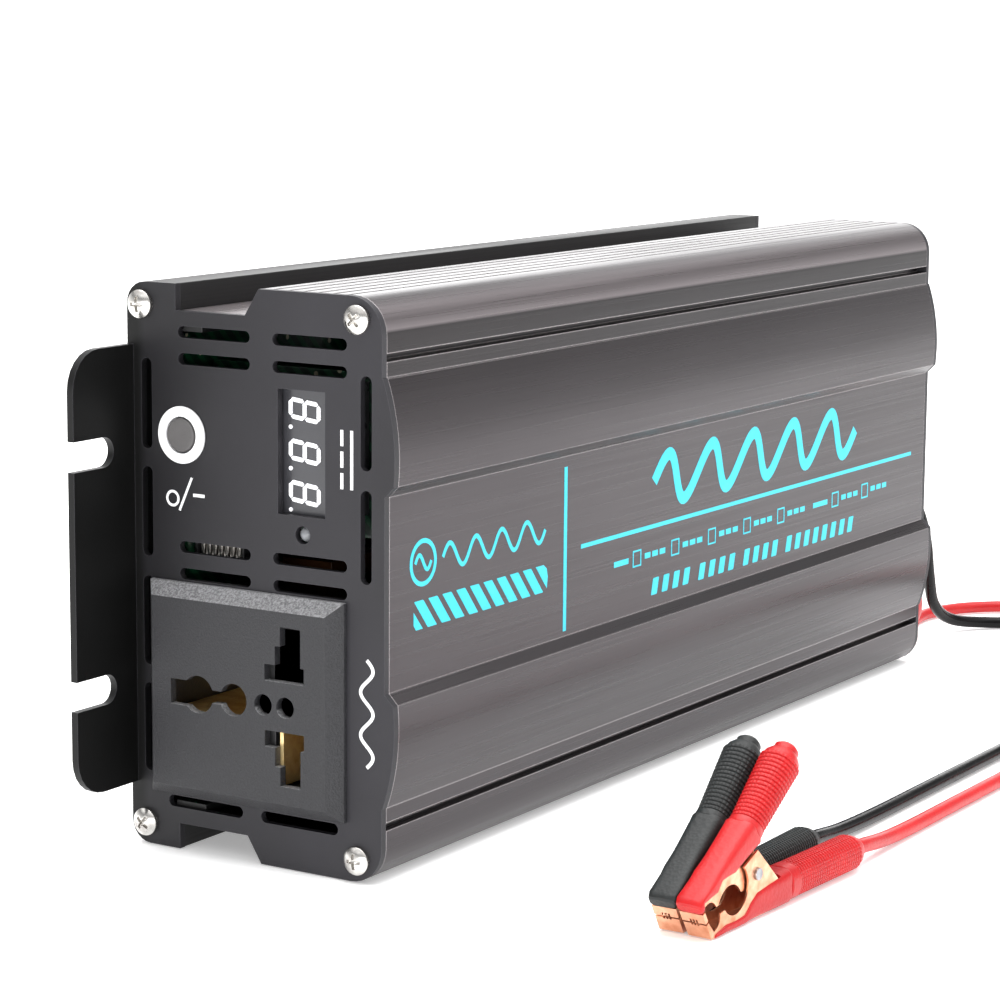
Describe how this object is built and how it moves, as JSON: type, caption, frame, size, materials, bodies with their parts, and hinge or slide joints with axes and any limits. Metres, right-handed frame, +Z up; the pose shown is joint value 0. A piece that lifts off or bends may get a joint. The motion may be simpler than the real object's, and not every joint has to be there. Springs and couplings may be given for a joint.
{
  "type": "power inverter",
  "caption": "Power inverter in an extruded aluminium case with end panels, mains outlet, display, button, fan, and battery leads ending in crocodile clamps.",
  "frame": {"origin": "bottom centre of the case with its foot flanges, standing on its narrow side, leads and clamps not counted", "axes": "+X through the thickness towards the printed cover, +Y along the length towards the fan and battery terminals, +Z up"},
  "size_m": [0.1297, 0.3375, 0.1101],
  "materials": {
    "cover_aluminium": "satin",
    "black_aluminium": "satin",
    "panel_paint": "satin",
    "screw_steel": "gloss",
    "white_plastic": "gloss",
    "dark_plastic": "matte",
    "black_plastic": "matte",
    "display_plastic": "gloss",
    "digit_white": "gloss",
    "led_clear": "gloss",
    "board_green": "gloss",
    "socket_plastic": "fine grain",
    "brass": "satin",
    "wire_red": "matte",
    "ferrite": "matte",
    "winding_tape": "gloss",
    "copper": "satin",
    "copper_jaw": "satin",
    "capacitor_sleeve": "gloss",
    "bare_aluminium": "satin",
    "fuse_orange": "gloss",
    "fan_plastic": "matte",
    "tinned_copper": "satin",
    "red_cable": "gloss",
    "black_cable": "gloss",
    "red_grip": "satin",
    "black_grip": "satin",
    "graphic_cyan": "matte"
  },
  "bodies": {
    "case": {"cover_shell": "cover_aluminium", "base_shell": "black_aluminium", "front_panel": "panel_paint", "rear_panel": "panel_paint", "front_panel_screws": "screw_steel", "rear_panel_screws": "screw_steel", "button_ring": "white_plastic", "switch_body": "black_plastic", "display_module": "display_plastic", "display_digits": "digit_white", "status_led": "led_clear", "control_board": "board_green", "socket_faceplate": "socket_plastic", "socket_body": "black_plastic", "live_contact": "brass", "neutral_contact": "brass", "earth_contact": "brass", "output_wires": "wire_red", "main_board": "board_green", "board_standoffs": "brass", "board_screws": "screw_steel", "transformer_cores": "ferrite", "transformer_windings": "winding_tape", "choke_core": "ferrite", "choke_winding": "copper", "bus_capacitors": "capacitor_sleeve", "input_capacitors": "capacitor_sleeve", "power_transistors": "black_plastic", "heat_sinks": "bare_aluminium", "blade_fuses": "fuse_orange", "fan_frame": "black_plastic", "fan_screws": "screw_steel", "terminal_block": "black_plastic", "positive_stud": "brass", "negative_stud": "brass", "terminal_nuts": "screw_steel", "dc_bus_bars": "copper", "red_ring_terminal": "tinned_copper", "black_ring_terminal": "tinned_copper", "red_lead": "red_cable", "black_lead": "black_cable", "red_fixed_jaw": "copper_jaw", "red_fixed_grip": "red_grip", "red_pivot_pin": "screw_steel", "red_spring": "screw_steel", "black_fixed_jaw": "copper_jaw", "black_fixed_grip": "black_grip", "black_pivot_pin": "screw_steel", "black_spring": "screw_steel"},
    "button": {"power_button": "dark_plastic"},
    "fan": {"fan_rotor": "fan_plastic"},
    "red_clamp_arm": {"red_moving_jaw": "copper_jaw", "red_moving_grip": "red_grip"},
    "black_clamp_arm": {"black_moving_jaw": "copper_jaw", "black_moving_grip": "black_grip"}
  },
  "joints": [
    {"name": "power_button_press", "type": "slide", "parent": "case", "child": "button", "axis": [0, 1, 0], "range_m": [0, 0.0012], "stiffness_N_per_m": 250, "springref_m": -0.001},
    {"name": "fan_spin", "type": "hinge", "parent": "case", "child": "fan", "pos_m": [-0.002, 0.1128, 0.078], "axis": [0, 1, 0], "continuous": true},
    {"name": "red_clamp_open", "type": "hinge", "parent": "case", "child": "red_clamp_arm", "pos_m": [0.09341, -0.09852, 0.0085], "axis": [-0.9986, 0.0523, 0], "range_deg": [0, 38], "stiffness_Nm_per_rad": 0.06, "springref_deg": -34.38},
    {"name": "black_clamp_open", "type": "hinge", "parent": "case", "child": "black_clamp_arm", "pos_m": [0.08633, -0.098, 0.0085], "axis": [-0.9998, -0.0175, 0], "range_deg": [0, 38], "stiffness_Nm_per_rad": 0.06, "springref_deg": -34.38}
  ]
}
